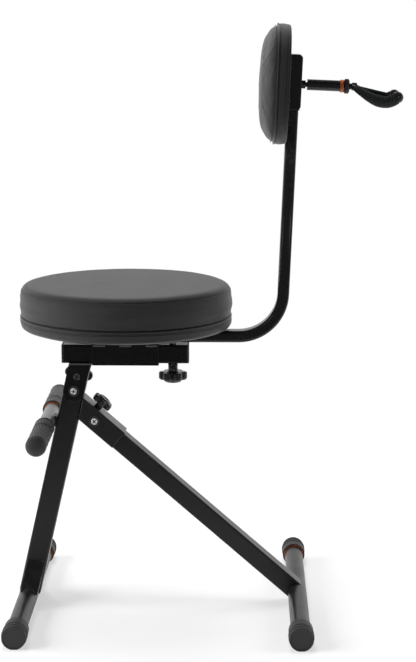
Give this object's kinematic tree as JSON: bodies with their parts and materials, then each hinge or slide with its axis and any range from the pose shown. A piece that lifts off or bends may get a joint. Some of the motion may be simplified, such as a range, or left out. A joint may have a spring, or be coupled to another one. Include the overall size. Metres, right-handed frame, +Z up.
{
  "type": "folding instrument stool",
  "caption": "Folding round padded stool with T-shaped feet, a sliding backrest, an adjustable footrest bar and a padded yoke that holds a stringed instrument.",
  "frame": {"origin": "on the floor, under the middle of the stool's box", "axes": "+Z up, -Y the way the sitter faces, +X to the sitter's left"},
  "size_m": [0.5, 0.6442, 0.9847],
  "materials": {
    "steel_black": "satin powder coat",
    "steel_grey": "satin",
    "zinc": "bright zinc plate",
    "plastic_black": "moulded",
    "nylon": "natural nylon",
    "rubber": "matt",
    "orange": "moulded",
    "vinyl": "grained leatherette",
    "wood": "plywood",
    "foam": "closed-cell foam"
  },
  "bodies": {
    "frame": {"front_leg": "steel_black", "front_shoe": "steel_black", "front_foot_bar": "steel_black", "front_foot_caps": "rubber", "front_foot_rings": "orange", "fold_bracket": "steel_black", "fold_pivot_bolt": "zinc", "fold_pivot_washers": "plastic_black", "fold_pivot_nut": "zinc", "rear_lock_nut": "steel_black", "seat_pivot_bush": "zinc"},
    "rear_frame": {"rear_leg": "steel_black", "rear_foot_bar": "steel_black", "rear_foot_caps": "rubber", "rear_foot_rings": "orange", "fold_bush": "zinc"},
    "rear_lock": {"rear_lock_knob": "plastic_black", "rear_lock_screw": "zinc"},
    "footrest": {"footrest_tube": "steel_grey", "footrest_grips": "rubber", "footrest_end_caps": "rubber", "footrest_rings": "orange", "footrest_pad": "plastic_black", "footrest_screw": "zinc", "slide_block": "zinc"},
    "seat": {"receiver": "steel_black", "receiver_plugs": "plastic_black", "saddle": "steel_black", "seat_neck": "steel_black", "seat_pivot_bolt": "zinc", "seat_pivot_washers": "plastic_black", "seat_pivot_nut": "zinc", "seat_lock_insert": "steel_black", "bar_glides": "nylon", "seat_board": "wood", "seat_screws": "zinc", "seat_cushion": "vinyl", "clamp_nut": "steel_black"},
    "seat_lock": {"seat_lock_knob": "plastic_black", "seat_lock_screw": "steel_black"},
    "bar_clamp": {"bar_clamp_knob": "plastic_black", "bar_clamp_screw": "zinc"},
    "backrest": {"backrest_bar": "steel_black", "bar_plug": "plastic_black", "backrest_bracket": "steel_black", "backrest_board": "wood", "backrest_screws": "steel_black", "backrest_pad": "vinyl", "hanger_stud": "steel_black", "hanger_nuts": "steel_black", "hanger_tube": "steel_black", "hanger_ring": "orange"},
    "collar": {"hanger_collar": "plastic_black"},
    "rod": {"hanger_rod": "steel_black"},
    "yoke": {"yoke_frame": "steel_black", "yoke_foam": "foam", "yoke_tips": "plastic_black"}
  },
  "joints": [
    {"name": "rear_leg_fold", "type": "hinge", "parent": "frame", "child": "rear_frame", "pos_m": [0, -0.18769, 0.32167], "axis": [1, 0, 0], "range_deg": [-61, 0]},
    {"name": "rear_lock_turn", "type": "hinge", "parent": "frame", "child": "rear_lock", "pos_m": [0, -0.17545, 0.35083], "axis": [0, 0.6588, 0.7523], "continuous": true},
    {"name": "footrest_slide", "type": "slide", "parent": "frame", "child": "footrest", "axis": [0, 0.2223, 0.975], "range_m": [-0.12, 0]},
    {"name": "seat_fold", "type": "hinge", "parent": "frame", "child": "seat", "pos_m": [0, -0.22201, 0.3736], "axis": [1, 0, 0], "range_deg": [0, 100]},
    {"name": "seat_lock_turn", "type": "hinge", "parent": "seat", "child": "seat_lock", "pos_m": [0, -0.21645, 0.39798], "axis": [1, 0, 0], "continuous": true},
    {"name": "bar_clamp_turn", "type": "hinge", "parent": "seat", "child": "bar_clamp", "pos_m": [0, -0.05541, 0.4], "axis": [0, 0, 1], "continuous": true},
    {"name": "backrest_slide", "type": "slide", "parent": "seat", "child": "backrest", "axis": [0, 1, 0], "range_m": [-0.035, 0.08]},
    {"name": "collar_turn", "type": "hinge", "parent": "backrest", "child": "collar", "pos_m": [0, 0.16635, 0.88508], "axis": [0, 0.9991, -0.0419], "continuous": true},
    {"name": "hanger_extend", "type": "slide", "parent": "backrest", "child": "rod", "axis": [0, 0.9991, -0.0419], "range_m": [0, 0.035]},
    {"name": "yoke_swivel", "type": "hinge", "parent": "rod", "child": "yoke", "pos_m": [0, 0.16635, 0.88508], "axis": [0, 0.9991, -0.0419], "range_deg": [-90, 90]}
  ]
}
